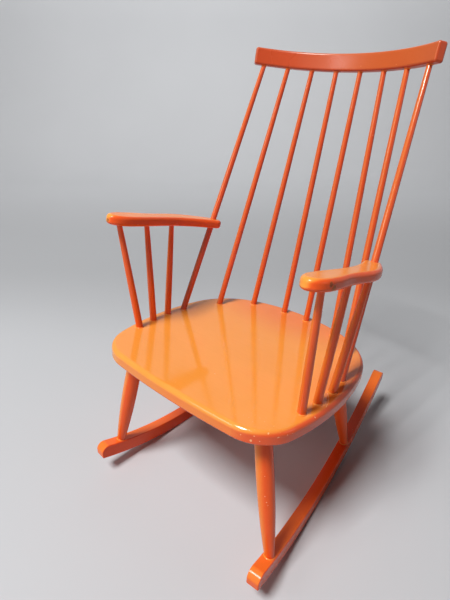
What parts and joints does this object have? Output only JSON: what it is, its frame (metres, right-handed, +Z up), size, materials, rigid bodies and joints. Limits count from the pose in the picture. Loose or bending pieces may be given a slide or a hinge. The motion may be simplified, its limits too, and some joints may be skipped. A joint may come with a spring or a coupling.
{
  "type": "rocking chair",
  "caption": "Painted wooden spindle-back rocking chair with a flat rounded seat, splayed turned legs on curved rockers, paddle arms and a bent crest rail.",
  "frame": {"origin": "on the floor, midway between the two sides and midway between the front and rear ends of the rockers", "axes": "+Z up from the floor, -Y the way the sitter faces, +X to the right of someone looking at the chair from the front"},
  "size_m": [0.5484, 0.751, 1.037],
  "materials": {
    "painted_wood": "orange gloss paint"
  },
  "bodies": {
    "root": {"seat": "painted_wood", "crest_rail": "painted_wood", "rocker_right": "painted_wood", "rocker_left": "painted_wood", "leg_front_right": "painted_wood", "leg_front_left": "painted_wood", "leg_rear_right": "painted_wood", "leg_rear_left": "painted_wood", "arm_right": "painted_wood", "arm_left": "painted_wood", "back_spindle_1_right": "painted_wood", "back_spindle_1_left": "painted_wood", "back_spindle_2_right": "painted_wood", "back_spindle_2_left": "painted_wood", "back_spindle_3_right": "painted_wood", "back_spindle_3_left": "painted_wood", "back_spindle_4_right": "painted_wood", "back_spindle_4_left": "painted_wood", "arm_spindle_1_right": "painted_wood", "arm_spindle_1_left": "painted_wood", "arm_spindle_2_right": "painted_wood", "arm_spindle_2_left": "painted_wood", "arm_spindle_3_right": "painted_wood", "arm_spindle_3_left": "painted_wood"}
  },
  "joints": []
}
